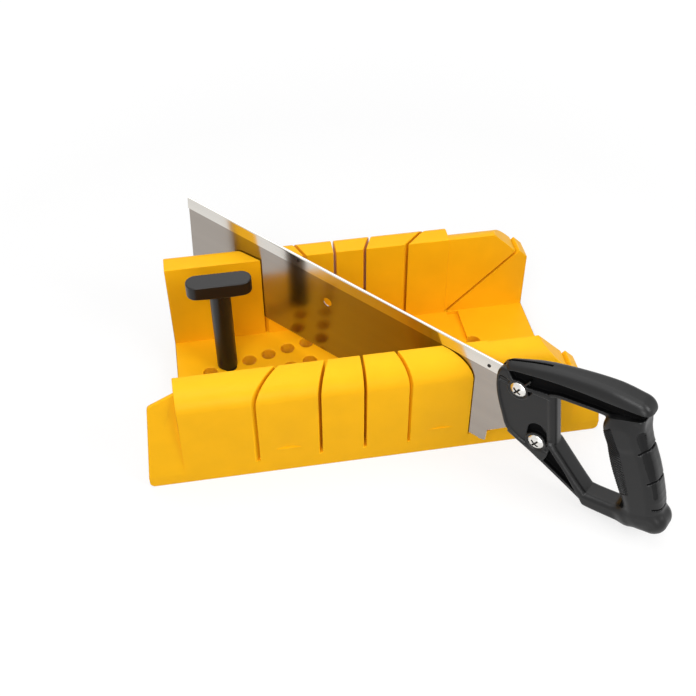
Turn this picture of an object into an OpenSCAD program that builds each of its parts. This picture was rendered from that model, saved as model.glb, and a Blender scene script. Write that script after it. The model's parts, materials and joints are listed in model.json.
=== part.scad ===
// Mitre box with a back saw and a cam pin.
// The box is a trough. Its two walls are slotted for saw cuts at three angles either way, and its right
// end for a sloping bevel cut. The saw lies in one of the outer slots with its toe raised. The cam pin
// stands in a peg hole of the bed and is turned to press the work against the rear wall.
// Millimetres. +X runs along the box to its right end, +Y to its rear wall, +Z up.
// The origin is where the saw lines cross, on the plane that the box stands on.

/* [Box] */
// Length from the crossing of the saw lines to the left end
left_reach = 167; // [160:1:180]
// Length from the crossing of the saw lines to the right end
right_reach = 199; // [196:1:206]
// Depth from the crossing of the saw lines to the front face
front_reach = 100; // [96:1:106]
// Depth from the crossing of the saw lines to the rear face
rear_reach = 96; // [92:1:102]
// Thickness of each wall
wall_t = 24.5; // [22:0.5:26]
// Height of the walls
wall_h = 112.5; // [106:0.5:118]
// Height of the bed's upper face
bed_h = 16.5; // [15:0.5:20]
// Thickness of the bed's plate
bed_t = 3.5; // [3:0.25:4.5]
// Thickness of the moulded skins
skin = 3; // [2:0.25:4]
// Thickness of the ribs under the bed
rib_t = 2.5; // [2:0.25:3.5]
// Rounding of the rear wall's outer top edge
rear_round = 9; // [6:0.5:12]

/* [Saw slots] */
// Width of the saw slots
slot_w = 2.6; // [2.2:0.1:3.2]
// Angle of the outer slots from a square cut
outer_angle = 45; // [42:1:46]
// Angle of the inner slots from a square cut
inner_angle = 22.5; // [20:0.5:25]

/* [Bevel end] */
// Distance from the crossing of the saw lines to the bevel end
seam_x = 115.5; // [112:0.5:118]
// How far the bevel end's faces are set in from the rest of the walls
seam_step = 0.8; // [0.4:0.1:1.2]
// Angle of the bevel slot from the bed
bevel_angle = 45; // [43:1:47]
// Length of the bevel slot from the bed to the sloping end
bevel_len = 99.5; // [96:0.5:103]
// How far the end block stands out past the slope beside it
end_lift = 3; // [1:0.5:5]
// Width of the trough in the bed at the foot of the bevel slot
trough_w = 12; // [8:1:14]
// Depth of the trough
trough_d = 4; // [2:0.5:5]

/* [Peg holes] */
// Diameter of the peg holes
hole_d = 14; // [12:0.5:16]
// Distance between neighbouring peg holes along the box
hole_pitch = 20; // [19:0.5:21]
// How much further back each peg hole is than the one before it
hole_shift = 5.35; // [4:0.05:6]
// Distance between the two rows of peg holes
row_gap = 27; // [25:1:30]
// Peg holes in a row
row_holes = 6; // [4:1:6]
// Distance from the crossing of the saw lines to the outermost peg holes, along the box
hole_x = 134.5; // [132:0.5:138]
// Distance from the crossing of the saw lines back to the first hole of the rear row
hole_y = 23.5; // [20:0.5:26]
// Wall of the tubes under the peg holes
socket_wall = 2.5; // [2:0.25:3]

/* [Wings] */
// Width of the left wing at its foot
left_wing_w = 33; // [28:0.5:38]
// Width of the right wing at its foot
right_wing_w = 28; // [24:0.5:36]
// Thickness of a wing
wing_t = 3.5; // [2.5:0.25:4.5]
// Height of a wing's upright foot
lip_h = 12; // [8:1:16]
// Backward lean of a wing above its foot
wing_lean = 5.8; // [3:0.2:7]
// Inward slant of a wing's outer edge
wing_slant = 4.7; // [3:0.1:8]
// Height of the left wing where it meets the wall
left_wing_h = 107; // [95:1:109]
// Height of the right wing where it meets the wall
right_wing_h = 75; // [60:1:78]
// Fall of a wing's top edge
wing_fall = 26; // [15:1:30]
// Rounding of a wing's corners
wing_round = 5; // [3:0.5:7]

/* [Thumb marks] */
// Width of the shallow marks on the front face
mark_w = 25; // [20:1:30]
// Depth of a mark at its lower edge
mark_deep = 1.2; // [0.8:0.1:1.4]
// Height over which a mark fades out above its lower edge
mark_rise = 22; // [16:1:26]
// Distance of each mark from the crossing of the saw lines, along the box
mark_x = 71; // [68:1:76]
// Height of the marks' lower edges
mark_z = 29.5; // [26:0.5:36]

/* [Cam pin] */
// Diameter of the pin's post
post_d = 20; // [18:0.5:21]
// Height of the pin's top above the bench
pin_top = 127; // [120:1:135]
// Length of the pin's cross bar
bar_len = 62; // [50:1:66]
// Height of the pin's cross bar
bar_h = 15; // [12:0.5:18]
// Distance from the peg's axis to the post's axis
pin_throw = 4; // [2:0.25:4.5]
// Direction of the post from the peg, from +X
throw_angle = 120; // [100:5:140]
// Length of the peg
peg_len = 13; // [9:0.5:14]
// Clearance round the peg in its hole
peg_gap = 0.07; // [0.03:0.01:0.1]
// Clearance between the post and the bed
seat_gap = 0.1; // [0.05:0.05:0.3]

/* [Saw] */
// Rise of the saw towards its toe
saw_tilt = 4.7; // [3:0.1:6]
// Clearance of the spine above the front wall's inner edge
spine_gap = 0.7; // [0.5:0.1:2]
// Clearance of the teeth above the slot's foot at the front face
tooth_gap = 1.2; // [0.8:0.1:2.5]
// Length of the blade from the crossing of the saw lines to its toe
toe_reach = 193; // [175:1:215]
// Length of the blade from the crossing of the saw lines to its heel
heel_reach = 165; // [163:1:172]
// Thickness of the blade
blade_t = 0.9; // [0.7:0.05:1.1]
// Distance between the teeth
tooth_pitch = 2.3; // [2:0.1:3]
// Depth of the teeth
tooth_h = 1.5; // [1:0.1:1.8]
// Diameter of the hole in the blade
blade_hole_d = 9.5; // [6:0.5:11]
// Height of the spine
spine_h = 13; // [11:0.5:14]
// Thickness of the spine
spine_t = 3; // [2.6:0.1:3.4]
// Diameter of the spine's rivets
rivet_d = 3.6; // [3:0.1:4.5]

/* [Handle] */
// Thickness of the handle's plate
plate_t = 16; // [14:0.5:18]
// Thickness of the handle's top rail
rail_t = 23; // [20:0.5:25]
// Thickness of the rail's rear end, the horn
horn_t = 27; // [24:0.5:29]
// Thickness of the handle's grip
grip_t = 28; // [24:0.5:30]
// Depth of the hollow round the screws on each cheek
cheek_d = 1.5; // [1:0.1:2]
// Clearance on each side of the blade and the spine in the handle
slit_gap = 0.1; // [0.05:0.05:0.2]
// Diameter of the screws' heads
head_d = 15.5; // [13:0.5:16]
// Height of the screws' heads
head_h = 3; // [2.2:0.1:3.4]
// Diameter of the screws' shanks
shank_d = 5; // [4:0.5:5.5]
// Wall of the sleeve nuts
sleeve_wall = 1.3; // [1:0.1:1.6]
// Clearance round the screws and nuts
screw_gap = 0.1; // [0.05:0.05:0.2]

/* [Hidden] */

YELLOW = [0.95, 0.75, 0.08];
BLACK = [0.13, 0.13, 0.13];
STEEL = [0.72, 0.72, 0.72];
BRIGHT = [0.85, 0.85, 0.84];

$fn = 64;
hull_fn = 32;

// Overshoot of a cut past the face that it leaves, and a length longer than the whole object
over = 1;
far = 600;

front_inner = front_reach - wall_t;
rear_inner = rear_reach - wall_t;
box_len = left_reach + right_reach;
box_depth = front_reach + rear_reach;
angles = [-outer_angle, -inner_angle, 0, inner_angle, outer_angle];

// The bevel slot meets the bed just inside the bevel end, and the trough lies beside its foot
bevel_foot = seam_x + slot_w / 2;
trough_x = bevel_foot + over;

// Peg holes of one side, outermost first, rear row then front row; the right side is their mirror image
peg_holes = [
  for (row = [0, 1])
    for (i = [0 : row_holes - 1])
      [-hole_x + i * hole_pitch, hole_y - row * row_gap + i * hole_shift]
];
right_holes = [for (p = peg_holes) if (!over_trough(p)) [-p[0], p[1]]];
all_holes = concat(peg_holes, right_holes);
peg_at = peg_holes[1];

// True for a hole whose middle, mirrored to the right side, would lie over the trough or close to its left
function over_trough(p) =
  -p[0] > trough_x - hole_d && -p[0] < trough_x + trough_w;

// Height of the spine's lower edge above the crossing, so that the spine clears the front wall
saw_z = wall_h + spine_gap + front_inner / cos(outer_angle) * tan(saw_tilt);
// Depth of the blade below the spine, so that the teeth clear the slot's foot
blade_h = (saw_z - front_reach / cos(outer_angle) * tan(saw_tilt) - bed_h - tooth_gap) * cos(saw_tilt);
// How far the blade reaches up into the spine, and the spine into the handle
blade_in_spine = spine_h - spine_t + blade_t;
spine_in_handle = 7;
// Places of the hole and the rivets, measured from the crossing towards the toe and up from the spine
blade_hole_at = [20.5, -25.5];
rivets_at = [[56, 0.65 * spine_h], [-153.5, 0.35 * spine_h]];
rivet_proud = 0.3;
// The toe leans back a little and its lower corner is cut off
toe_slant = 5;
toe_cut = 7;
// The heel below the handle: a short hook, then a step up and a slope into the handle
hook_w = 6;
hook_drop = 2;
heel_step = 16;
heel_slope = 17;
heel = [
  [-heel_reach + hook_w, -blade_h], [-heel_reach, -blade_h + hook_drop],
  [-heel_reach, -blade_h + heel_step],
  [-heel_reach - heel_slope, -blade_h + heel_step + heel_slope]
];

// The handle is measured back from the blade's heel and up from the spine's lower edge.
// Screws, and the part of the blade inside the handle
upper_at = [21, 0.5];
lower_at = [49, -49.5];
tang = [[33, blade_in_spine], [35, -14], [57, -39], [59, -52], [52, -57], [43, -56.5], [25, -46]];
slit_top_len = 43;
// Outline of the plate: cheek, web under the rail, and the start of the brace
outline = [
  [0, 8], [3, 17], [14, 24], [44, 37], [78, 46], [108, 50], [118, 40], [113, 24], [97, 20], [78, 17],
  [60, 14], [54, 4], [57, -18], [63, -38], [77, -54], [92, -70], [100, -86], [74, -76], [47, -64.3],
  [22, -53.5], [12, -35], [3, -12]
];
// Hollow round the screws
cheek = [[7, 4], [14, 13], [36, 13], [45, 6], [47, -20], [54, -43], [50, -58], [25, -49]];
// Thickness of the rail's front end and of the handle's lower bars
rail_front_t = plate_t + 3;
sole_t = plate_t + 8;
foot_t = sole_t + 2;
brace_t = sole_t - 4;
// Rounded bars: places, radii and thicknesses of their pucks
rail = [[12, 20, 6, rail_front_t], [44, 33.4, 7, rail_t], [72, 41.5, 8, (rail_t + horn_t) / 2]];
horn = [rail[2], [100, 45.4, 10, horn_t], [120, 42.5, 13.5, horn_t]];
grip = [[118, 17, 18.5, grip_t], [134.5, -16.5, 21, grip_t], [151.5, -51, 18.5, grip_t]];
sole = [[108, -84, 8, sole_t], [144, -78, 9, sole_t]];
foot = [[148, -74, 12.5, foot_t], [166.2, -67.4, 15.2, foot_t]];
brace = [[108, -84, 8, brace_t], [70, -62, 10, brace_t]];
// Front of the hand opening, from its top to its foot
jamb = [[49, 7], [60, -42]];
jamb_d = 15;
curve_steps = 5;
// Rounding of the bars
rail_soft = 7;
grip_soft = 12;
sole_soft = 8;
// The face that the screws' heads stand on, measured from the blade's middle
seat = plate_t / 2 - cheek_d;
head_gap = 0.8;
rim_h = 0.5;
nut_head_h = 0.7 * head_h;
sleeve_d = shank_d + 2 * (screw_gap + sleeve_wall);
// How far the shank passes the blade's middle
shank_in = seat - head_h / 2;
// The crossed recess of the screws
cross_w = 1.8;
cross_len = 8.5;
cross_deep = 1.8;
cross_turn = 30;

// Point at share t of the smooth curve from b to c, with a and d the points before and after
function blend(a, b, c, d, t) =
  0.5 * (2 * b + (c - a) * t + (2 * a - 5 * b + 4 * c - d) * t * t + (3 * b - a - 3 * c + d) * t * t * t);

// A closed smooth curve through a list of points
function curve(p) = [
  for (i = [0 : len(p) - 1])
    for (k = [0 : curve_steps - 1])
      blend(p[(i + len(p) - 1) % len(p)], p[i], p[(i + 1) % len(p)], p[(i + 2) % len(p)], k / curve_steps)
];

// Box

// Section of a wall whose outer top is a quarter round: x is outwards from the inner face, y is up
module round_section(set_in, thin) {
  lift = wall_h - wall_t;
  intersection() {
    translate([set_in + thin, -over]) square([wall_t - set_in - 2 * thin, wall_h + 2 * over]);
    union() {
      translate([0, -over]) square([wall_t - thin, lift + over]);
      translate([set_in, lift]) circle(r = wall_t - set_in - thin, $fn = 96);
    }
  }
}

// Section of a wall with a flat top and a rounded outer edge
module flat_section(thin) {
  r = rear_round - thin;
  union() {
    translate([thin, -over]) square([wall_t - 2 * thin, wall_h - rear_round + over]);
    translate([thin, 0]) square([wall_t - rear_round - thin, wall_h - thin]);
    translate([wall_t - rear_round, wall_h - rear_round]) circle(r = r);
  }
}

// A section drawn out along X between two places
module along(x0, x1) {
  translate([x0, 0, 0]) rotate([90, 0, 90]) linear_extrude(x1 - x0) children();
}

// The front wall's whole bar, or the hollow inside it when thin is the skin
module front_bar(thin) {
  translate([0, -front_inner, 0]) mirror([0, 1, 0]) {
    along(-left_reach + thin, seam_x) round_section(0, thin);
    along(seam_x - over, right_reach - thin) round_section(seam_step, thin);
  }
}

module rear_bar(thin) {
  translate([0, rear_inner, 0]) {
    along(-left_reach + thin, seam_x) flat_section(thin);
    along(seam_x - over, right_reach - thin) round_section(seam_step, thin);
  }
}

// Where a slot's side crosses the depth y, with clear the distance from the slot's middle
function slot_side(angle, y, clear) = abs(y) * tan(angle) + clear / cos(angle);

// A wall's bar parted by the mitre slots into its towers, each clear of the slots by thin
module towers(y0, y1, thin) {
  clear = slot_w / 2 + thin;
  last = len(angles) - 1;
  for (i = [-1 : last])
    intersection() {
      children();
      linear_extrude(2 * wall_h) polygon(concat(
        [for (y = [y0, y1]) [i < 0 ? -left_reach - over : slot_side(angles[i], y, clear), y]],
        [for (y = [y1, y0]) [i == last ? right_reach + over : slot_side(angles[i + 1], y, -clear), y]]
      ));
    }
}

module front_towers(thin) {
  towers(-front_reach - over, -front_inner + over, thin) children();
}

module rear_towers(thin) {
  towers(rear_inner - over, rear_reach + over, thin) children();
}

// What the bevel slot and the sloping end take away from the walls, with walls of thin left
module bevel_cuts(thin) {
  w = slot_w + 2 * thin;
  translate([bevel_foot, 0, bed_h]) rotate([0, -bevel_angle, 0]) {
    translate([-2 * wall_t, -far / 2, -w / 2]) cube([far, far, w]);
    translate([bevel_len - thin, -far / 2, 0]) cube([far, far, far]);
    translate([bevel_len + end_lift - thin, -far / 2, -far]) cube([far, far, far]);
  }
}

// The hollows of both walls: one channel low down, and the inside of each tower above it
module wall_hollows() {
  intersection() {
    union() {
      front_bar(skin);
      rear_bar(skin);
    }
    translate([-far / 2, -far / 2, -over]) cube([far, far, bed_h - skin + over]);
  }
  difference() {
    union() {
      front_towers(skin) front_bar(skin);
      rear_towers(skin) rear_bar(skin);
    }
    bevel_cuts(skin);
  }
}

// The space above the bed, where the walls stand
module above_bed() {
  translate([-far / 2, -far / 2, bed_h]) cube([far, far, far]);
}

// Scoops in the front face, each with a flat ledge below, that fade out above
module thumb_marks() {
  mark_r = (mark_w * mark_w / 4 + mark_deep * mark_deep) / (2 * mark_deep);
  for (side = [-1, 1])
    translate([side * mark_x, mark_deep - front_reach, mark_z]) rotate([atan(mark_deep / mark_rise), 0, 0])
      translate([0, -mark_r, 0]) cylinder(r = mark_r, h = 1.5 * mark_rise);
}

module front_wall() {
  color(YELLOW) difference() {
    front_towers(0) intersection() {
      front_bar(0);
      above_bed();
    }
    bevel_cuts(0);
    wall_hollows();
    thumb_marks();
  }
}

module rear_wall() {
  color(YELLOW) difference() {
    rear_towers(0) intersection() {
      rear_bar(0);
      above_bed();
    }
    bevel_cuts(0);
    wall_hollows();
  }
}

// Ribs under the bed, between the walls
module ribs() {
  rib_pitch = 2 * hole_pitch;
  intersection() {
    translate([-left_reach, -front_inner, 0]) cube([box_len, front_inner + rear_inner, bed_h - bed_t]);
    union() {
      translate([-far / 2, -rib_t / 2, 0]) cube([far, rib_t, bed_h]);
      for (x = [-3 * rib_pitch : rib_pitch : 4 * rib_pitch])
        translate([x - rib_t / 2, -far / 2, 0]) cube([rib_t, far, bed_h]);
    }
  }
}

module sockets() {
  socket_d = hole_d + 2 * socket_wall;
  for (p = all_holes)
    translate([p[0], p[1], over]) cylinder(d = socket_d, h = bed_h - bed_t / 2 - over);
}

module bed() {
  trough_len = front_inner + rear_inner;
  color(YELLOW) difference() {
    union() {
      difference() {
        translate([-left_reach, -front_reach, 0]) cube([box_len, box_depth, bed_h]);
        translate([-left_reach + skin, -front_inner, -over])
          cube([box_len - 2 * skin, trough_len, bed_h - bed_t + over]);
        wall_hollows();
      }
      ribs();
      sockets();
      translate([trough_x - skin, -front_inner, bed_h - trough_d - skin])
        cube([trough_w + 2 * skin, trough_len, trough_d + skin]);
    }
    translate([trough_x, -front_inner, bed_h - trough_d]) cube([trough_w, trough_len, trough_d + over]);
    for (p = all_holes)
      translate([p[0], p[1], -over]) cylinder(d = hole_d, h = bed_h + 2 * over);
  }
}

// Outline of a wing's leaning plate, outwards from the wall's end
module wing_outline(w, h) {
  plate_h = h - lip_h;
  top_w = w - h * tan(wing_slant);
  intersection() {
    offset(r = wing_round) offset(delta = -wing_round)
      polygon([
        [-w, -wing_round], [w, -wing_round], [w, 0],
        [top_w, plate_h - top_w * tan(wing_fall)], [0, plate_h], [-w, plate_h]
      ]);
    square([far, far]);
  }
}

// A wing that grows outwards along +X from the end of the front wall
module wing(w, h) {
  translate([0, -front_reach, 0]) {
    intersection() {
      translate([0, wing_t, 0]) rotate([90, 0, 0]) linear_extrude(wing_t)
        offset(r = wing_round) offset(delta = -wing_round)
          translate([-w, 0]) square([2 * w, 2 * lip_h]);
      cube([far, wing_t, lip_h]);
    }
    translate([0, 0, lip_h]) rotate([-wing_lean, 0, 0])
      translate([0, wing_t, 0]) rotate([90, 0, 0]) linear_extrude(wing_t) wing_outline(w, h);
  }
}

module left_wing() {
  color(YELLOW) translate([-left_reach, 0, 0]) mirror([1, 0, 0]) wing(left_wing_w, left_wing_h);
}

module right_wing() {
  color(YELLOW) translate([right_reach, 0, 0]) wing(right_wing_w, right_wing_h);
}

// Cam pin

module cam_pin() {
  bar_w = post_d;
  bar_low = pin_top - bar_h;
  color(BLACK) translate([peg_at[0], peg_at[1], 0]) {
    translate([0, 0, bed_h - peg_len]) cylinder(d = hole_d - 2 * peg_gap, h = peg_len + 2 * seat_gap);
    translate([pin_throw * cos(throw_angle), pin_throw * sin(throw_angle), 0]) {
      translate([0, 0, bed_h + seat_gap]) cylinder(d = post_d, h = pin_top - bed_h - seat_gap);
      for (side = [-1, 1])
        translate([side * (bar_len - bar_w) / 2, 0, bar_low]) cylinder(d = bar_w, h = bar_h);
      translate([-(bar_len - bar_w) / 2, -bar_w / 2, bar_low]) cube([bar_len - bar_w, bar_w, bar_h]);
    }
  }
}

// Saw

// Puts the saw's own frame in place: x towards the toe, z up across the blade, y out of its near face
module saw_frame() {
  translate([0, 0, saw_z]) rotate([0, 0, 90 + outer_angle]) rotate([0, -saw_tilt, 0]) children();
}

// The handle's frame: x back from the heel, z up from the spine's lower edge
module handle_frame() {
  saw_frame() translate([-heel_reach, 0, 0]) mirror([1, 0, 0]) children();
}

// A flat shape of the saw's plane, given a thickness
module flat(t) {
  rotate([90, 0, 0]) linear_extrude(t, center = true) children();
}

// A round bar across the saw's plane, from y0 to y1
module across(at, d, y0, y1) {
  translate([at[0], y0, at[1]]) rotate([-90, 0, 0]) cylinder(d = d, h = y1 - y0);
}

// Where a place in the handle lies along the saw
function along_saw(p) = [-heel_reach - p[0], p[1]];

module saw_blade() {
  toe_low = toe_reach - toe_slant;
  tooth_end = heel[0][0];
  count = floor((toe_low - toe_cut - tooth_end) / tooth_pitch);
  teeth = [
    for (i = [0 : count - 1])
      for (k = [0, 1])
        [tooth_end + (count - i - 0.8 * k) * tooth_pitch, -blade_h + (k == 0 ? tooth_h : 0)]
  ];
  tang_points = [for (i = [len(tang) - 1 : -1 : 0]) along_saw(tang[i])];
  toe = [
    [toe_reach, blade_in_spine], [toe_low + toe_slant / 3, -blade_h + toe_cut],
    [toe_low - toe_cut, -blade_h + tooth_h]
  ];
  color(STEEL) saw_frame() difference() {
    flat(blade_t) polygon(concat(toe, teeth, heel, tang_points));
    across(blade_hole_at, blade_hole_d, -blade_t, blade_t);
    for (p = rivets_at)
      across(p, rivet_d, -blade_t, blade_t);
    for (p = [upper_at, lower_at])
      across(along_saw(p), sleeve_d + 2 * screw_gap, -blade_t, blade_t);
  }
}

module saw_spine() {
  back = -heel_reach - spine_in_handle;
  spine_len = toe_reach - back;
  fold_z = spine_h - spine_t / 2;
  color(BRIGHT) saw_frame() difference() {
    union() {
      translate([back, -spine_t / 2, 0]) cube([spine_len, spine_t, fold_z]);
      translate([back, 0, fold_z]) rotate([0, 90, 0]) cylinder(d = spine_t, h = spine_len);
    }
    translate([back - over, -blade_t / 2, -over])
      cube([spine_len + 2 * over, blade_t, blade_in_spine + over]);
    for (p = rivets_at)
      across(p, rivet_d, -spine_t, spine_t);
  }
}

module spine_rivets() {
  reach = spine_t / 2 + rivet_proud;
  color(STEEL) saw_frame()
    for (p = rivets_at)
      across(p, rivet_d, -reach, reach);
}

// A disc across the handle's plane with softly rounded rims
module puck(at, r, t, soft) {
  translate([at[0], 0, at[1]]) rotate([90, 0, 0]) rotate_extrude($fn = hull_fn) intersection() {
    square([2 * r, 2 * t], center = true);
    union() {
      translate([0, -t / 2 + soft]) square([r, t - 2 * soft]);
      translate([0, -t / 2]) square([r - soft, t]);
      for (side = [-1, 1])
        translate([r - soft, side * (t / 2 - soft)]) circle(r = soft, $fn = hull_fn);
    }
    translate([0, -t]) square([2 * r, 2 * t]);
  }
}

// Pucks joined into one rounded bar; each entry holds a place, a radius and a thickness
module bar(pucks, soft) {
  hull()
    for (p = pucks)
      puck([p[0], p[1]], p[2], p[3], min(soft, p[2] - over));
}

module handle_body() {
  run = jamb[1] - jamb[0];
  flat(plate_t) polygon(curve(outline));
  bar(rail, rail_soft);
  bar(horn, rail_soft);
  bar(grip, grip_soft);
  bar(sole, sole_soft);
  bar(foot, grip_soft);
  bar(brace, sole_soft);
  translate([jamb[0][0], 0, jamb[0][1]]) rotate([0, atan2(run[0], run[1]), 0])
    cylinder(d = jamb_d, h = norm(run));
}

// The hollow cheeks round the screws, on both faces
module cheeks() {
  for (side = [-1, 1])
    translate([0, side * (plate_t / 2), 0]) flat(2 * cheek_d) polygon(curve(cheek));
}

module saw_handle() {
  slit_w = blade_t + 2 * slit_gap;
  pocket_w = spine_t + 2 * slit_gap;
  pocket_l = spine_in_handle + slit_gap;
  slit = concat([[-over, blade_in_spine]], tang, [along_saw(heel[3]), along_saw(heel[2]) - [over, 0]]);
  color(BLACK) handle_frame() difference() {
    handle_body();
    cheeks();
    flat(slit_w) offset(delta = slit_gap) polygon(slit);
    translate([-over, -slit_w / 2, 0]) cube([slit_top_len + over, slit_w, far]);
    translate([-over, -pocket_w / 2, -slit_gap]) cube([pocket_l + over, pocket_w, far]);
    for (p = [upper_at, lower_at]) {
      across(p, sleeve_d + 2 * screw_gap, -plate_t, plate_t);
      across(p, head_d + 2 * head_gap, seat, plate_t);
      across(p, head_d + 2 * head_gap, -plate_t, -seat);
    }
  }
}

// A dome-headed screw with a crossed recess, on the near cheek
module screw(at) {
  crown_r = (head_d * head_d / 4 + head_h * head_h) / (2 * head_h) + rim_h;
  difference() {
    union() {
      intersection() {
        across(at, head_d, seat, seat + head_h);
        translate([at[0], seat + head_h - crown_r, at[1]]) sphere(r = crown_r, $fn = 96);
      }
      across(at, shank_d, -shank_in, seat + rim_h);
    }
    for (turn = [cross_turn, cross_turn + 90])
      translate([at[0], seat + head_h, at[1]]) rotate([0, turn, 0])
        cube([cross_len, 2 * cross_deep, cross_w], center = true);
  }
}

// A sleeve nut on the far cheek, which takes the screw's shank
module nut(at) {
  difference() {
    union() {
      across(at, head_d, -seat - nut_head_h, -seat);
      across(at, sleeve_d, -seat - rim_h, seat - rim_h);
    }
    across(at, shank_d + 2 * screw_gap, -shank_in - screw_gap, plate_t);
    translate([at[0], -seat - nut_head_h, at[1]]) rotate([0, cross_turn, 0])
      cube([head_d + over, cross_deep, cross_w], center = true);
  }
}

module upper_screw() {
  color(BRIGHT) handle_frame() screw(upper_at);
}

module lower_screw() {
  color(BRIGHT) handle_frame() screw(lower_at);
}

module upper_nut() {
  color(BRIGHT) handle_frame() nut(upper_at);
}

module lower_nut() {
  color(BRIGHT) handle_frame() nut(lower_at);
}

bed();
front_wall();
rear_wall();
left_wing();
right_wing();
cam_pin();
saw_blade();
saw_spine();
spine_rivets();
saw_handle();
upper_screw();
lower_screw();
upper_nut();
lower_nut();
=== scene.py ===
"""Looks of a mitre box with a back saw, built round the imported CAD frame."""

import json
import math

import bmesh
import bpy
import numpy as np
from mathutils import Matrix, Vector


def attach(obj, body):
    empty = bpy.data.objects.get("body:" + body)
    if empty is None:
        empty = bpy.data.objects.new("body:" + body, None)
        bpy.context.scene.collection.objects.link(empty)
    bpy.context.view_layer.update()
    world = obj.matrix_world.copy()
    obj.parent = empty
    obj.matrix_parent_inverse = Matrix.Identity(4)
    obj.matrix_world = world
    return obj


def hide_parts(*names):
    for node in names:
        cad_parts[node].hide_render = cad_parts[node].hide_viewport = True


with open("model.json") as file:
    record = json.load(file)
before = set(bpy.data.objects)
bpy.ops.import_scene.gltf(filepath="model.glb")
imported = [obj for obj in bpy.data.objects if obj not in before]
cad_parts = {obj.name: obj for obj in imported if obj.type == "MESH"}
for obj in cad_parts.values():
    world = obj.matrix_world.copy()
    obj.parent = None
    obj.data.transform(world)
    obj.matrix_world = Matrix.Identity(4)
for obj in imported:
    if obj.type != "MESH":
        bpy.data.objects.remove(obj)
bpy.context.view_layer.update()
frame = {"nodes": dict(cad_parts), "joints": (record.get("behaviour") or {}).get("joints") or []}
nodes = frame["nodes"]
scene = bpy.context.scene

MM = 0.001

# Camera: place in metres, directions in degrees, focal length in pixels of a square picture
CAMERA_AT = Vector((-0.1224, -0.7516, 0.7762))
AZIMUTH, ELEVATION, ROLL = 9.297, 43.641, 0.386
PICTURE_PX, FOCAL_PX = 696, 1080.7
SENSOR = 36.0

# Light: strength of the sky, then place, size and power of each soft lamp
SKY = 0.2
LAMPS = {
    "overhead": (Vector((-0.2, 0.3, 1.6)), 2.4, 23.0),
    "left": (Vector((-0.5, -1.05, 1.25)), 0.8, 10.5),
    "right": (Vector((1.0, -0.85, 0.95)), 0.7, 9.5),
    "front": (Vector((-0.15, -1.2, 0.2)), 0.5, 3.4),
}
FLOOR_COLOUR, FLOOR_GLOW = 0.25, 0.74
FLOOR_NEAR, FLOOR_FAR = 0.5, 2.0
FLOOR_HALF, FLOOR_GAP = 6.0, 0.2 * MM

# Box and pin: rounding of their edges, joining of corners, and the CAD nodes that are one moulding
EDGE = 0.75 * MM
CREASE = math.radians(20)
NARROW = 0.9 * MM
PIN_EDGE = 1.4 * MM
EDGE_STEPS, EDGE_SHARE = 3, 0.45
WELD, FLAT = 0.001 * MM, math.radians(0.4)
BOX_NODES = ("bed", "front_wall", "rear_wall", "left_wing", "right_wing")

# Colours of the plastics and metals, and how their roughness and grain wander
BOX_COLOUR = (0.95, 0.475, 0.006)
PIN_COLOUR = (0.005, 0.0042, 0.0038)
HANDLE_COLOUR = (0.003, 0.003, 0.0032)
BLADE_COLOUR = (0.36, 0.325, 0.29)
SPINE_COLOUR = (0.68, 0.655, 0.61)
RIVET_COLOUR = (0.035, 0.032, 0.03)
NICKEL_COLOUR = (0.74, 0.73, 0.7)
SHADE_COLOUR = (0.05, 0.05, 0.05)
ROUGH_WANDER, GRAIN_DEEP = 0.12, 0.1 * MM
PATCH_DETAIL, GRAIN_DETAIL = 3.0, 2.0

# Saw: direction of its length, and where its spine's lower edge crosses the middle of the box
SAW_X = Vector(next(j for j in frame["joints"] if j["name"] == "saw_stroke")["axis"]).normalized()
SAW_Z_AT = 121.98 * MM
HEEL = 165.0

# Handle, in millimetres: u runs back from the blade's heel, v up from the spine's lower edge
# and w to each side. Outlines are lists of (u, v), bars are lists of (u, v, radius)
HANDLE_LOW, HANDLE_HIGH, HANDLE_STEP = (-3, -97, -16), (184, 58, 16), 0.8
CHEEK_HALF, PANEL_HALF, WEB_HALF = 8.0, 6.4, 2.6
HOOD_HALF, GRIP_HALF, FOOT_HALF, ARM_HALF = 13.5, 14.0, 13.0, 10.5
FLANGE_HALF, NECK_HALF, CORE_HALF = 7.5, 12.0, 6.0
BOSS_HALF, RIB_HALF, JAMB_HALF = CHEEK_HALF - 0.7, CHEEK_HALF - 0.4, CHEEK_HALF - 0.9
HOOD_SPREAD = ((6, 30, 60, 100), (CHEEK_HALF, 11.0, 11.8, HOOD_HALF))
CORE_SPREAD = ((94, 112), (WEB_HALF - 1.0, CORE_HALF))
CHEEK = [
    (-1, 8), (2, 16), (8, 18), (13, 12), (19, 7), (29, 8.5), (40, 12), (48, 13.8), (51, 12),
    (52, 4), (54.5, -18), (59.5, -40), (63, -56), (59, -68.5), (47, -64.3), (21.5, -53.5),
    (10.8, -35), (1.8, -12),
]
WEB = [
    (8, 16), (44, 36), (78, 45), (108, 48), (116, 40), (113, 28), (97, 25), (78, 21.5),
    (60, 17.5), (50, 8), (45, -20), (64, -40), (88, -62), (106, -80), (103, -88), (74, -75),
    (48, -64), (40, -50), (20, -10),
]
PANEL = [
    (2.4, 3), (3.5, 8), (16, 6), (30, 5), (70, 4), (70, -50), (66, -52), (47, -57), (25, -51),
    (14, -33), (5.2, -11),
]
FLANGE = [(50, 13.6, 1.7), (58.5, 17.3, 1.8), (76.5, 21.2, 1.8), (94, 24.7, 1.8), (108, 26.5, 1.8)]
RIM = [(22.5, -53.6, 1.6), (47, -62.8, 1.6), (74, -74.6, 1.6), (103, -88, 1.6)]
HOOD = [(11, 17, 8.5), (44.5, 29.4, 11), (73, 36.3, 13), (100.5, 41.2, 14), (121.6, 42.1, 13.8)]
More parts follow.
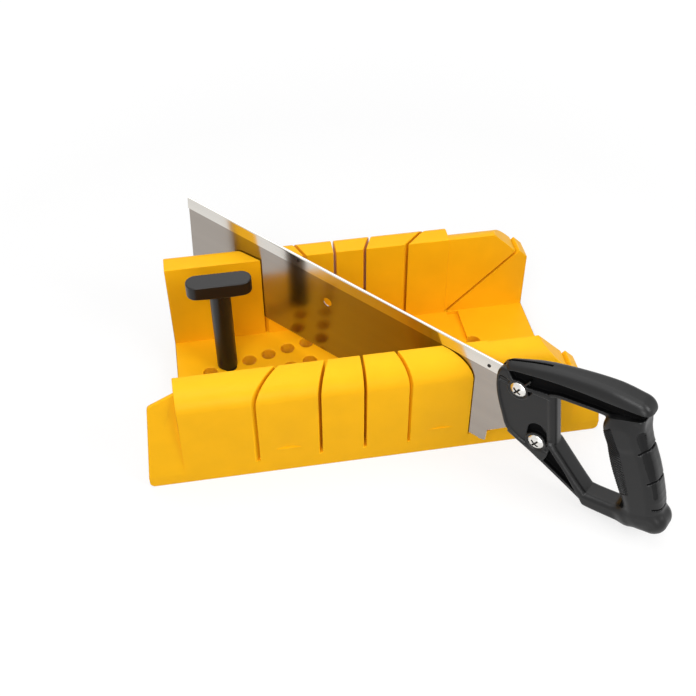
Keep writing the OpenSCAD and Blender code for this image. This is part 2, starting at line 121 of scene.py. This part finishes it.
HOOD_EDGE = [
    (-10, 8), (4, 14.5), (15, 20.5), (28, 25.5), (39, 29.1), (57, 33.7), (75, 37.4), (93, 40.2),
    (110, 43), (127, 46), (150, 50),
]
HOOD_END = 127.5
NECK = [(117, 40, 14), (118, 18, 17.5)]
CORE = [(92, 33, 5), (117, 40, 12), (118, 18, 15.5)]
NECK_EDGE = [(80, 18), (97, 24.8), (108, 30), (127, 40), (150, 50)]
GRIP = [(118, 17, 18.5), (134.5, -16.5, 21), (151.5, -51, 18.5), (155, -66, 16.5)]
FOOT = [(148, -73.5, 12.3), (165, -67.2, 14.4)]
ARM = [(62, -49.5, 9.5), (98, -81.5, 8.6), (108, -84.7, 8.3), (144, -78.6, 9)]
ARM_EDGE = [(40, -24), (63.5, -45.5), (82.5, -63), (101.5, -84), (110, -95), (200, -95)]
JAMB = [(50.6, 10.0, 5.0), (62.2, -41.8, 5.0)]
SCREWS = [(21, 0.5), (49, -49.5)]
BOSS = 10.5
RIBS = [((1, 1), (14, 2.5)), ((26, 9), (30, 17))]
RIB_RADIUS = 0.9
NOTCH = [(29.3, 4.8), (34.2, 7.2), (31.6, -1)]
BORE = [(49.2, -47.5, 10.2), (47.5, -36.5, 9.0)]
SLIT_END, SLIT_LOW, SLIT_HALF = 43.3, 5.0, 1.0
GROOVES = [
    ((136.7, 7.4), (143.0, 12.2)),
    ((152.2, -20.6), (160.0, -16.6)),
    ((163.9, -47.5), (172.0, -48.8)),
]
FLUTE = [(136.2, 26, 0), (146.8, 6.5, 0), (160.7, -18.5, 0), (166.5, -32, 0)]
FLUTE_OUT, FLUTE_RADIUS = 13.2, 6.5
KNURL_FRONT = [(103.6, 12), (114.5, -13.1), (133.5, -48.9)]
KNURL_BACK = [(107.7, 19.9), (121.9, -2.7), (140.5, -42.8)]
KNURL_STEPS, KNURL_LEAN, KNURL_PITCH = 5, 0.13, 0.032
KNURL_HALF, KNURL_RISE, KNURL_SUNK = 0.45, 0.6, 0.1
KNURL_IN, KNURL_OUT = 10.0, 13.0
GROOVE_HALF, GROOVE_SUNK = 1.0, 0.2
SINK_RADIUS, SINK_HALF = 8.5, 1.5

# Zones of the handle with painted shade, from duller, less shiny copies of its plastic: the scoop, and
# under hood and arm, a nook and the slit
POCKET = [(8, 6), (50, 12), (58.5, 17.3), (76.5, 21.2), (94, 24.7), (108, 26.5)]
POCKET_HALF, POCKET_END, WEDGE_HALF = 7.0, 130.0, 5.5
NOOK, NOOK_RADIUS = (136.0, -64.0), 4.5
FLUTE_NEAR, FLUTE_DARK, UNDER = 0.4, 2.0, 0.3
SLIT_DARK_HALF, SLIT_DARK_LOW = SLIT_HALF + 0.2, 10.0

# Screw heads, in millimetres: radius and depth of the recess, and where the heads begin; then
# how little and how much a face's normal follows the screw if it is the recess's wall or floor
RECESS, RECESS_DEEP, SEAT = 4.6, 1.0, 6.0
UPRIGHT, LEVEL = 0.2, 0.999

# Softness of the handle's rims, in millimetres, and of the places where two forms meet, and how
# far the whole surface is drawn in to stay within the CAD's box
CHEEK_RIM, PANEL_RIM, WEB_RIM, FLANGE_RIM, CORE_RIM = 2.5, 1.4, 1.5, 1.0, 2.0
HOOD_RIM, HOOD_TIP, ARM_RIM, FOOT_RIM = 10.0, 8.0, 5.0, 9.0
GRIP_RIM, NECK_RIM, JAMB_RIM, RIB_RIM = 12.0, 5.0, 5.0, 0.5
FLUTE_RIM, SINK_RIM, SLIT_RIM = 1.2, 0.4, 0.3
LIP, SEAM, MERGE, BLEND, FOOT_BLEND = 0.6, 0.8, 1.0, 3.0, 6.0
INSET = 0.05


def camera():
    """Camera at the photograph's angle."""
    az, el, roll = (math.radians(a) for a in (AZIMUTH, ELEVATION, ROLL))
    ahead = Vector((math.sin(az) * math.cos(el), math.cos(az) * math.cos(el), -math.sin(el)))
    right = Vector((math.cos(az), -math.sin(az), 0))
    across = math.cos(roll) * right + math.sin(roll) * ahead.cross(right)
    down = ahead.cross(across)
    data = bpy.data.cameras.new("camera")
    data.sensor_width = SENSOR
    data.lens = FOCAL_PX / PICTURE_PX * SENSOR
    data.clip_start, data.clip_end = 0.01, 50
    cam = bpy.data.objects.new("camera", data)
    turn = Matrix((across, -down, -ahead)).transposed()
    cam.matrix_world = Matrix.Translation(CAMERA_AT) @ turn.to_4x4()
    scene.collection.objects.link(cam)
    scene.camera = cam


def seen(tree):
    """Socket that is 1 for rays from the camera, off shiny surfaces and through glass."""
    path = tree.nodes.new("ShaderNodeLightPath")
    total = path.outputs["Is Camera Ray"]
    for name in ("Is Glossy Ray", "Is Transmission Ray"):
        most = tree.nodes.new("ShaderNodeMath")
        most.operation = "MAXIMUM"
        tree.links.new(total, most.inputs[0])
        tree.links.new(path.outputs[name], most.inputs[1])
        total = most.outputs[0]
    return total


def studio():
    """White surroundings, soft lamps, and a pale floor that keeps the object's shadow."""
    world = bpy.data.worlds.new("studio")
    scene.world = world
    world.use_nodes = True
    tree = world.node_tree
    back = tree.nodes["Background"]
    back.inputs["Color"].default_value = (1, 1, 1, 1)
    tree.links.new(spread(tree, seen(tree), SKY, 1.0, 0.0, 1.0), back.inputs["Strength"])

    for name, (place, size, watts) in LAMPS.items():
        data = bpy.data.lights.new(name, "AREA")
        data.size, data.energy = size, watts
        lamp = bpy.data.objects.new(name, data)
        lamp.location = place
        lamp.rotation_euler = (-place).to_track_quat("-Z", "Y").to_euler()
        scene.collection.objects.link(lamp)

    mesh = bpy.data.meshes.new("floor")
    s, z = FLOOR_HALF, -FLOOR_GAP
    mesh.from_pydata([(-s, -s, z), (s, -s, z), (s, s, z), (-s, s, z)], [], [(0, 1, 2, 3)])
    floor = bpy.data.objects.new("floor", mesh)
    scene.collection.objects.link(floor)
    mat = bpy.data.materials.new("floor")
    mat.use_nodes = True
    tree = mat.node_tree
    shader = tree.nodes["Principled BSDF"]
    shader.inputs["Base Color"].default_value = (FLOOR_COLOUR, FLOOR_COLOUR, FLOOR_COLOUR, 1)
    shader.inputs["Roughness"].default_value = 0.9
    shader.inputs["Specular IOR Level"].default_value = 0.0
    shader.inputs["Emission Color"].default_value = (1, 1, 1, 1)
    glow = tree.nodes.new("ShaderNodeMath")
    glow.operation = "MULTIPLY"
    place = tree.nodes.new("ShaderNodeTexCoord")
    away = tree.nodes.new("ShaderNodeVectorMath")
    away.operation = "LENGTH"
    tree.links.new(place.outputs["Object"], away.inputs[0])
    level = spread(tree, away.outputs["Value"], FLOOR_GLOW, 1.0, FLOOR_NEAR, FLOOR_FAR)
    tree.links.new(seen(tree), glow.inputs[0])
    tree.links.new(level, glow.inputs[1])
    tree.links.new(glow.outputs[0], shader.inputs["Emission Strength"])
    mesh.materials.append(mat)


def noise(tree, scale, detail, stretch):
    """Noise that is fixed to an object and drawn out along the saw, if stretch says so."""
    place = tree.nodes.new("ShaderNodeTexCoord")
    turn = tree.nodes.new("ShaderNodeMapping")
    turn.vector_type = "TEXTURE"
    turn.inputs["Rotation"].default_value = saw_place().to_euler()
    turn.inputs["Scale"].default_value = (stretch, 1, 1)
    tree.links.new(place.outputs["Object"], turn.inputs["Vector"])
    texture = tree.nodes.new("ShaderNodeTexNoise")
    texture.inputs["Scale"].default_value = scale
    texture.inputs["Detail"].default_value = detail
    tree.links.new(turn.outputs[0], texture.inputs["Vector"])
    return texture.outputs["Fac"]


def spread(tree, value, low, high, start=0.3, end=0.7):
    """Socket that goes from low to high while a value goes from start to end, as a noise does."""
    level = tree.nodes.new("ShaderNodeMapRange")
    level.inputs["From Min"].default_value = start
    level.inputs["From Max"].default_value = end
    level.inputs["To Min"].default_value = low
    level.inputs["To Max"].default_value = high
    tree.links.new(value, level.inputs["Value"])
    return level.outputs[0]


def look(
    name, colour, rough, shine=0.5, metal=0.0, patch=35.0, wander=0.05, grain=1400.0, relief=0.05,
    stretch=1.0,
):
    """Material whose colour and roughness wander a little, with a fine grain in relief."""
    mat = bpy.data.materials.new(name)
    mat.use_nodes = True
    tree = mat.node_tree
    shader = tree.nodes["Principled BSDF"]
    shader.inputs["Metallic"].default_value = metal
    shader.inputs["Specular IOR Level"].default_value = shine
    broad = noise(tree, patch, PATCH_DETAIL, stretch)
    fine = noise(tree, grain, GRAIN_DETAIL, stretch)
    tint = tree.nodes.new("ShaderNodeMix")
    tint.data_type = "RGBA"
    tint.inputs["A"].default_value = (*(c * (1 - wander) for c in colour), 1)
    tint.inputs["B"].default_value = (*(min(1.0, c * (1 + wander)) for c in colour), 1)
    tree.links.new(spread(tree, broad, 0.0, 1.0), tint.inputs["Factor"])
    tree.links.new(tint.outputs["Result"], shader.inputs["Base Color"])
    low, high = rough * (1 - ROUGH_WANDER), rough * (1 + ROUGH_WANDER)
    tree.links.new(spread(tree, fine, low, high), shader.inputs["Roughness"])
    bump = tree.nodes.new("ShaderNodeBump")
    bump.inputs["Strength"].default_value = relief
    bump.inputs["Distance"].default_value = GRAIN_DEEP
    tree.links.new(fine, bump.inputs["Height"])
    tree.links.new(bump.outputs[0], shader.inputs["Normal"])
    return mat


def piece(name, mesh, body, slot, *stands_for):
    """A new object that rides on a body and stands for CAD nodes."""
    obj = bpy.data.objects.new(name, mesh)
    scene.collection.objects.link(obj)
    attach(obj, body)
    if stands_for:
        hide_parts(*stands_for)
    return obj


def welded(node):
    """Copy of a CAD node's mesh with its split corners joined."""
    bm = bmesh.new()
    bm.from_mesh(nodes[node].data)
    bmesh.ops.remove_doubles(bm, verts=bm.verts, dist=WELD)
    mesh = bpy.data.meshes.new(node)
    bm.to_mesh(mesh)
    bm.free()
    if "custom_normal" in mesh.attributes:
        mesh.attributes.remove(mesh.attributes["custom_normal"])
    return mesh


def united(names):
    """One mesh made of CAD nodes that meet face to face."""
    parts = []
    for name in names:
        obj = bpy.data.objects.new("part", welded(name))
        scene.collection.objects.link(obj)
        parts.append(obj)
    base = parts[0]
    for other in parts[1:]:
        join = base.modifiers.new("join", "BOOLEAN")
        join.operation = "UNION"
        join.solver = "EXACT"
        join.object = other
    graph = bpy.context.evaluated_depsgraph_get()
    mesh = bpy.data.meshes.new_from_object(base.evaluated_get(graph))
    for obj in parts:
        bpy.data.objects.remove(obj)
    mesh.materials.clear()
    return mesh


def patches(bm):
    """Number of the smooth patch that each face belongs to, parted at sharp edges."""
    number = {}
    for first in bm.faces:
        if first in number:
            continue
        number[first] = len(number)
        queue = [first]
        while queue:
            face = queue.pop()
            for edge in face.edges:
                if edge.calc_face_angle(math.pi) > CREASE:
                    continue
                for other in edge.link_faces:
                    if other not in number:
                        number[other] = number[first]
                        queue.append(other)
    return number


def soften(mesh, width):
    """Weights for a bevel: full on sharp outer edges, less or none beside narrow patches."""
    bm = bmesh.new()
    bm.from_mesh(mesh)
    bmesh.ops.remove_doubles(bm, verts=bm.verts, dist=WELD)
    bmesh.ops.dissolve_limit(bm, angle_limit=FLAT, verts=bm.verts, edges=bm.edges)
    number = patches(bm)
    area, rim = {}, {}
    for face, patch in number.items():
        area[patch] = area.get(patch, 0) + face.calc_area()
        for edge in face.edges:
            if edge.calc_face_angle(math.pi) > CREASE:
                rim[patch] = rim.get(patch, 0) + edge.calc_length()
    layer = bm.edges.layers.float.new("bevel_weight_edge")
    for edge in bm.edges:
        if edge.calc_face_angle(0) > CREASE:
            narrow = min(2 * area[number[f]] / rim[number[f]] for f in edge.link_faces)
            edge.smooth = edge.is_convex and narrow > NARROW
            edge[layer] = min(1.0, EDGE_SHARE * narrow / width) if edge.smooth else 0.0
    for face in bm.faces:
        face.smooth = True
    bm.to_mesh(mesh)
    bm.free()


def settle(obj):
    """Applies an object's modifiers, and keeps the result inside the box that it had before them."""
    co = np.array([v.co for v in obj.data.vertices])
    low, high = co.min(0), co.max(0)
    graph = bpy.context.evaluated_depsgraph_get()
    mesh = bpy.data.meshes.new_from_object(obj.evaluated_get(graph))
    for vert in mesh.vertices:
        vert.co = np.clip(vert.co, low, high)
    obj.modifiers.clear()
    obj.data = mesh


def rounded(obj, width):
    """Rounds an object's sharp outer edges."""
    soften(obj.data, width)
    bevel = obj.modifiers.new("edges", "BEVEL")
    bevel.limit_method = "WEIGHT"
    bevel.width = width
    bevel.segments = EDGE_STEPS
    bevel.use_clamp_overlap = False
    bevel.loop_slide = False
    bevel.harden_normals = True
    settle(obj)


def box_moulding():
    """The box as one moulding with rounded edges."""
    mesh = united(BOX_NODES)
    mesh.materials.append(look("box_plastic", BOX_COLOUR, rough=0.4, shine=0.14, wander=0.03))
    obj = piece("box_moulding", mesh, "box", "box_plastic", *BOX_NODES)
    rounded(obj, EDGE)


def cam_pin():
    """The cam pin with rounded edges."""
    mesh = welded("cam_pin")
    mesh.materials.clear()
    mesh.materials.append(look("pin_plastic", PIN_COLOUR, rough=0.32, shine=0.35, wander=0.15))
    obj = piece("cam_pin_moulding", mesh, "pin", "pin_plastic", "cam_pin")
    rounded(obj, PIN_EDGE)


# Distances: negative inside a shape, in millimetres

def between(a, b, c, d, steps):
    """Points of a smooth curve from each b to its c, where a comes before b and d after c."""
    rows = []
    for t in np.arange(steps) / steps:
        bend = (2 * a - 5 * b + 4 * c - d) * t**2 + (3 * b - a - 3 * c + d) * t**3
        rows.append(b + 0.5 * ((c - a) * t + bend))
    return np.stack(rows, 1).reshape(-1, b.shape[1])


def curve(points, steps=5):
    """A closed smooth curve through a list of points."""
    p = np.array(points, float)
    return between(np.roll(p, 1, 0), p, np.roll(p, -1, 0), np.roll(p, -2, 0), steps)


def run(points, steps=5):
    """An open smooth curve through a list of points."""
    p = np.array(points, float)
    p = np.concatenate([2 * p[:1] - p[1:2], p, 2 * p[-1:] - p[-2:-1]])
    return np.concatenate([between(p[:-3], p[1:-2], p[2:-1], p[3:], steps), p[-2:-1]])


def polygon(points, u, v):
    """Distance to a closed outline."""
    best, inside = np.inf, False
    for a, b in zip(points, np.roll(points, -1, 0)):
        e = b - a
        t = np.clip(((u - a[0]) * e[0] + (v - a[1]) * e[1]) / (e @ e), 0, 1)
        best = np.minimum(best, (u - a[0] - e[0] * t) ** 2 + (v - a[1] - e[1] * t) ** 2)
        rise = e[1] if abs(e[1]) > 1e-9 else 1e-9
        inside = inside ^ (((a[1] > v) != (b[1] > v)) & (u < a[0] + e[0] * (v - a[1]) / rise))
    return np.where(inside, -1, 1) * np.sqrt(best)


def chain(discs, u, v):
    """Distance to discs joined in a row; each has a place and a radius."""
    best = np.inf
    for (au, av, ar), (bu, bv, br) in zip(discs, discs[1:]):
        eu, ev = bu - au, bv - av
        t = np.clip(((u - au) * eu + (v - av) * ev) / (eu**2 + ev**2), 0, 1)
        best = np.minimum(best, np.hypot(u - au - eu * t, v - av - ev * t) - ar - (br - ar) * t)
    return best


def slab(flat, w, half, soft):
    """A flat shape given a thickness, with rounded rims."""
    a, b = flat + soft, np.abs(w) - half + soft
    return np.minimum(np.maximum(a, b), 0) + np.hypot(np.maximum(a, 0), np.maximum(b, 0)) - soft


def join(a, b, soft):
    """Two shapes run together."""
    t = np.clip(0.5 + 0.5 * (b - a) / soft, 0, 1)
    return b + (a - b) * t - soft * t * (1 - t)


def cut(a, b, soft):
    """The first shape without the second."""
    return -join(-a, b, soft)


def below(line, u, v):
    """Height over a line of points; negative below it."""
    line_u, line_v = np.array(line, float).T
    return v - np.interp(u, line_u, line_v)


def flute(u, v, w):
    """A scoop along the back of the grip, on each side."""
    return np.hypot(chain(run(FLUTE), u, v), np.abs(w) - FLUTE_OUT) - FLUTE_RADIUS


def groove(line, u, v):
    """Distance beside a line that runs on past its second point."""
    near, back = np.array(line)
    ahead = (back - near) / np.hypot(*(back - near))
    along = (u - near[0]) * ahead[0] + (v - near[1]) * ahead[1]
    return np.hypot((v - near[1]) * ahead[0] - (u - near[0]) * ahead[1], np.minimum(along, 0))


def hood_distance(u, v, w):
    """The hood over the handle's top, which widens to the back and ends in a round."""
    half = np.interp(u, *HOOD_SPREAD)
    hood = slab(chain(run(HOOD), u, v), w, half, HOOD_RIM)
    hood = cut(hood, below(run(HOOD_EDGE), u, v), LIP)
    return -join(-hood, HOOD_HALF - np.hypot(np.maximum(u - HOOD_END, 0), w), HOOD_TIP)


def cheek_distance(u, v, w):
    """The cheek with its sunk panel, bosses, ribs, notch, bore and rounded jamb."""
    side = np.abs(w)
    cheek = slab(polygon(curve(CHEEK), u, v), w, CHEEK_HALF, CHEEK_RIM)
    cheek = cut(cheek, np.maximum(polygon(curve(PANEL), u, v), PANEL_HALF - side), PANEL_RIM)
    for at in SCREWS:
        boss = np.hypot(u - at[0], v - at[1]) - BOSS
        cheek = join(cheek, slab(boss, w, BOSS_HALF, LIP), SEAM)
    for start, end in RIBS:
        rib = chain([(*start, RIB_RADIUS), (*end, RIB_RADIUS)], u, v)
        cheek = join(cheek, slab(rib, w, RIB_HALF, RIB_RIM), RIB_RIM)
    cheek = cut(cheek, np.maximum(polygon(np.array(NOTCH), u, v), WEB_HALF - side), SINK_RIM)
    bore = np.maximum(chain(BORE, u, v), BOSS - np.hypot(u - SCREWS[1][0], v - SCREWS[1][1]))
    cheek = cut(cheek, np.maximum(bore, WEB_HALF - side), RIB_RIM)
    return join(cheek, slab(chain(JAMB, u, v), w, JAMB_HALF, JAMB_RIM), SEAM)


def grip_distance(u, v, w):
    """The grip with its neck, which thins towards the web."""
    grip = slab(chain(run(GRIP), u, v), w, GRIP_HALF, GRIP_RIM)
    neck = slab(chain(NECK, u, v), w, NECK_HALF, NECK_RIM)
    grip = join(grip, cut(neck, -below(NECK_EDGE, u, v), SEAM), NECK_RIM)
    thick = np.interp(u, *CORE_SPREAD)
    return join(grip, slab(chain(CORE, u, v), w, thick, CORE_RIM), MERGE)


def handle_distance(u, v, w):
    """The saw's handle: a hollow cheek, a hood over a thin web, a grip, and a lower arm with a lip."""
    web = slab(polygon(curve(WEB), u, v), w, WEB_HALF, WEB_RIM)
    body = join(cheek_distance(u, v, w), web, SEAM)
    for bar in (FLANGE, RIM):
        body = join(body, slab(chain(run(bar), u, v), w, FLANGE_HALF, FLANGE_RIM), SEAM)
    body = join(body, hood_distance(u, v, w), SEAM)
    arm = cut(slab(chain(run(ARM), u, v), w, ARM_HALF, ARM_RIM), below(ARM_EDGE, u, v), LIP)
    arm = join(arm, slab(chain(FOOT, u, v), w, FOOT_HALF, FOOT_RIM), FOOT_BLEND)
    body = join(body, arm, MERGE)
    body = join(body, grip_distance(u, v, w), BLEND)

    body = cut(body, flute(u, v, w), FLUTE_RIM)
    for line in GROOVES:
        deep = np.minimum(body + GROOVE_SUNK, 0)
        body = cut(body, np.hypot(groove(line, u, v), deep) - GROOVE_HALF, SEAM)
    side = np.abs(w)
    for at in SCREWS:
        sink = np.hypot(u - at[0], v - at[1]) - SINK_RADIUS
        body = cut(body, slab(sink, side - CHEEK_HALF, SINK_HALF, SINK_RIM), RIB_RIM)
    slit = np.maximum(side - SLIT_HALF, np.maximum(u - SLIT_END, SLIT_LOW - v))
    return cut(body, slit, SLIT_RIM) + INSET


def surface(distance, low, high, step):
    """Mesh of the surface of a shape given by its distance: vertices and quads, inside a box."""
    axes = [np.arange(l, h + step, step) for l, h in zip(low, high)]
    shape = [len(a) for a in axes]
    grid = np.meshgrid(*axes, indexing="ij", sparse=True)
    field = np.broadcast_to(distance(*grid), shape)
    inside = field < 0
    total = np.zeros([n - 1 for n in shape] + [3])
    count = np.zeros([n - 1 for n in shape])
    crossings = []
    for axis in range(3):
        first = [slice(None)] * 3
        first[axis] = slice(0, -1)
        second = [slice(None)] * 3
        second[axis] = slice(1, None)
        flip = np.argwhere(inside[tuple(first)] != inside[tuple(second)])
        i, j, k = flip.T
        a = field[i, j, k]
        ahead = np.eye(3, dtype=int)[axis]
        b = field[i + ahead[0], j + ahead[1], k + ahead[2]]
        point = flip + (a / (a - b))[:, None] * ahead
        cells = []
        p, q = [n for n in range(3) if n != axis]
        for dp, dq in ((1, 1), (0, 1), (0, 0), (1, 0)):
            cell = flip.copy()
            cell[:, p] -= dp
            cell[:, q] -= dq
            np.add.at(total, tuple(cell.T), point)
            np.add.at(count, tuple(cell.T), 1)
            cells.append(cell)
        crossings.append((axis, np.stack(cells, 1), a < 0))
    used = np.argwhere(count > 0)
    index = np.full(count.shape, -1)
    index[tuple(used.T)] = np.arange(len(used))
    verts = np.array(low) + step * total[tuple(used.T)] / count[tuple(used.T)][:, None]
    quads = []
    for axis, cells, out in crossings:
        quad = index[tuple(np.moveaxis(cells, -1, 0))]
        flip = out if axis != 1 else ~out
        quads.append(np.where(flip[:, None], quad, quad[:, ::-1]))
    return onto(distance, verts, 3), np.concatenate(quads)


def slope(distance, points, h=0.05):
    """Unit direction in which a distance grows."""
    g = np.stack([
        distance(*(points + h * e).T) - distance(*(points - h * e).T) for e in np.eye(3)
    ], 1)
    return g / np.maximum(np.linalg.norm(g, axis=1), 1e-9)[:, None]


def onto(distance, points, times):
    """Points moved onto the surface of a shape, nearer with each time."""
    for _ in range(times):
        points = points - slope(distance, points) * distance(*points.T)[:, None]
    return points


def saw_place():
    """Matrix from the saw's own frame, in millimetres, to the row frame in metres."""
    side = Vector((0, 0, 1)).cross(SAW_X).normalized()
    up = SAW_X.cross(side)
    turn = Matrix((SAW_X, side, up)).transposed().to_4x4()
    return Matrix.Translation((0, 0, SAW_Z_AT)) @ turn @ Matrix.Scale(MM, 4)


def screws():
    """Screws and nuts with a shade in their recesses."""
    nickel = {"metal": 1.0, "patch": 300.0}
    bright = look("fastener_nickel", NICKEL_COLOUR, rough=0.22, wander=0.06, **nickel)
    shade = look("recess_shade", SHADE_COLOUR, rough=0.5, wander=0.2, **nickel)
    to_saw = saw_place().inverted()
    for (u, v), name in zip(SCREWS * 2, ("upper_screw", "lower_screw", "upper_nut", "lower_nut")):
        mesh = welded(name)
        mesh.materials.clear()
        mesh.materials.append(bright)
        mesh.materials.append(shade)
        axis = Vector((-HEEL - u, 0, v))
        side = to_saw.to_3x3().normalized()
        depth = max(abs((to_saw @ vert.co).y) for vert in mesh.vertices)
        for face in mesh.polygons:
            at = to_saw @ face.center - axis
            flat = abs((side @ face.normal).y)
            wall = flat < UPRIGHT and math.hypot(at.x, at.z) < RECESS
            floor = flat > LEVEL and abs(at.y) < depth - RECESS_DEEP
            face.material_index = int(abs(at.y) > SEAT and (wall or floor))
        piece(name + "_fastener", mesh, "saw", "fastener_nickel", name)


def handle():
    """The handle's moulding, with painted shade in its hollows and on the ground of its knurl, from
    duller copies of its plastic.
    """
    verts, quads = surface(handle_distance, HANDLE_LOW, HANDLE_HIGH, HANDLE_STEP)
    mesh = from_saw("saw_handle_moulding", verts, quads)
    mesh.shade_smooth()
    plastic = look("handle_plastic", HANDLE_COLOUR, rough=0.36, shine=0.35, wander=0.12)
    mesh.materials.append(plastic)
    # Painted half shade: a duller, less shiny copy of the plastic for the knurl's ground and the
    # scoop's margins
    mesh.materials.append(look("handle_painted_half_shade", HANDLE_COLOUR, rough=0.5, shine=0.18, wander=0.12))
    # Painted shade: a matt copy of the plastic that reflects almost nothing, so the hollows read dark
    mesh.materials.append(look("handle_painted_shade", HANDLE_COLOUR, rough=0.6, shine=0.04, wander=0.12))
    u, v, w = verts[quads].mean(1).T
    strip = polygon(np.array(KNURL_FRONT + KNURL_BACK[::-1]), u, v) < 0
    scoop = flute(u, v, w) < FLUTE_NEAR
    # Painted shade mask: scoop core, grooves, pocket under the hood, wedge under the arm, nook and
    # slit
    painted_shade = scoop & (chain(run(FLUTE), u, v) < FLUTE_DARK)
    for line in GROOVES:
        painted_shade = painted_shade | (groove(line, u, v) < GROOVE_HALF)
    roofed = (below(run(HOOD_EDGE), u, v) < UNDER) & (below(POCKET, u, v) > 0)
    painted_shade = painted_shade | (roofed & (np.abs(w) < POCKET_HALF) & (u < POCKET_END))
    painted_shade = painted_shade | ((below(ARM_EDGE, u, v) < UNDER) & (np.abs(w) < WEDGE_HALF))
    painted_shade = painted_shade | (np.hypot(u - NOOK[0], v - NOOK[1]) < NOOK_RADIUS)
    painted_shade = painted_shade | ((np.abs(w) < SLIT_DARK_HALF) & (u < SLIT_END) & (v > SLIT_DARK_LOW))
    # Painted half shade mask: the knurl strip and the scoop's margins
    painted_half_shade = strip | scoop
    mesh.polygons.foreach_set("material_index", np.where(painted_shade, 2, painted_half_shade.astype(int)).astype(np.int32))
    piece("saw_handle_moulding", mesh, "saw", "handle_plastic", "saw_handle")
    knurl(plastic)


def from_saw(name, verts, faces):
    """Mesh from places along, above and beside the handle."""
    at_saw = np.stack([-HEEL - verts[:, 0], verts[:, 2], verts[:, 1]], 1)
    mesh = bpy.data.meshes.new(name)
    mesh.from_pydata(at_saw.tolist(), [], [list(f) for f in faces])
    mesh.transform(saw_place())
    mesh.validate()
    return mesh


def knurl(plastic):
    """Two sets of slanting ridges that cross on the front of the grip, on both sides."""
    share = np.linspace(0, 1, KNURL_STEPS)
    along, across, sides = [], [], []
    for start in np.arange(-KNURL_LEAN, 1, KNURL_PITCH):
        for lean in (share, share[::-1]):
            for side in (-1, 1):
                along.append(np.clip(start + KNURL_LEAN * lean, 0, 1))
                across.append(share)
                sides.append(side * (KNURL_IN + (KNURL_OUT - KNURL_IN) * share))
    along = np.concatenate(along)
    across = np.concatenate(across)[:, None]
    stops = np.linspace(0, 1, len(KNURL_FRONT))
    front, back = (
        np.stack([np.interp(along, stops, places) for places in zip(*line)], 1)
        for line in (KNURL_FRONT, KNURL_BACK)
    )
    points = np.column_stack([front + (back - front) * across, np.concatenate(sides)])
    points = onto(handle_distance, points, 6)
    out = slope(handle_distance, points).reshape(-1, KNURL_STEPS, 3)
    points = points.reshape(-1, KNURL_STEPS, 3)
    beside = np.cross(out, np.gradient(points, axis=1))
    beside = beside / np.linalg.norm(beside, axis=2)[..., None]
    foot = points - KNURL_SUNK * out
    crest = points + KNURL_RISE * out
    verts = np.stack([foot - KNURL_HALF * beside, crest, foot + KNURL_HALF * beside], 2).reshape(-1, 3)
    faces = []
    for ridge in range(len(points)):
        for step in range(KNURL_STEPS - 1):
            first = 3 * (ridge * KNURL_STEPS + step)
            faces.append((first, first + 3, first + 4, first + 1))
            faces.append((first + 1, first + 4, first + 5, first + 2))
    mesh = from_saw("grip_knurl", verts, faces)
    mesh.materials.append(plastic)
    piece("grip_knurl", mesh, "saw", "handle_plastic")


camera()
studio()
box_moulding()
cam_pin()
handle()
screws()
brushed = {"metal": 1.0, "grain": 900.0, "relief": 0.02}
looks = {
    "saw_blade": look("blade_steel", BLADE_COLOUR, rough=0.16, patch=60.0, stretch=30.0, **brushed),
    "saw_spine": look("spine_steel", SPINE_COLOUR, rough=0.14, patch=90.0, stretch=40.0, **brushed),
    "spine_rivets": look("rivet_steel", RIVET_COLOUR, rough=0.35, metal=1.0, patch=500.0, wander=0.2),
}
for name, mat in looks.items():
    nodes[name].data.materials.clear()
    nodes[name].data.materials.append(mat)

scene.view_settings.view_transform = "Standard"
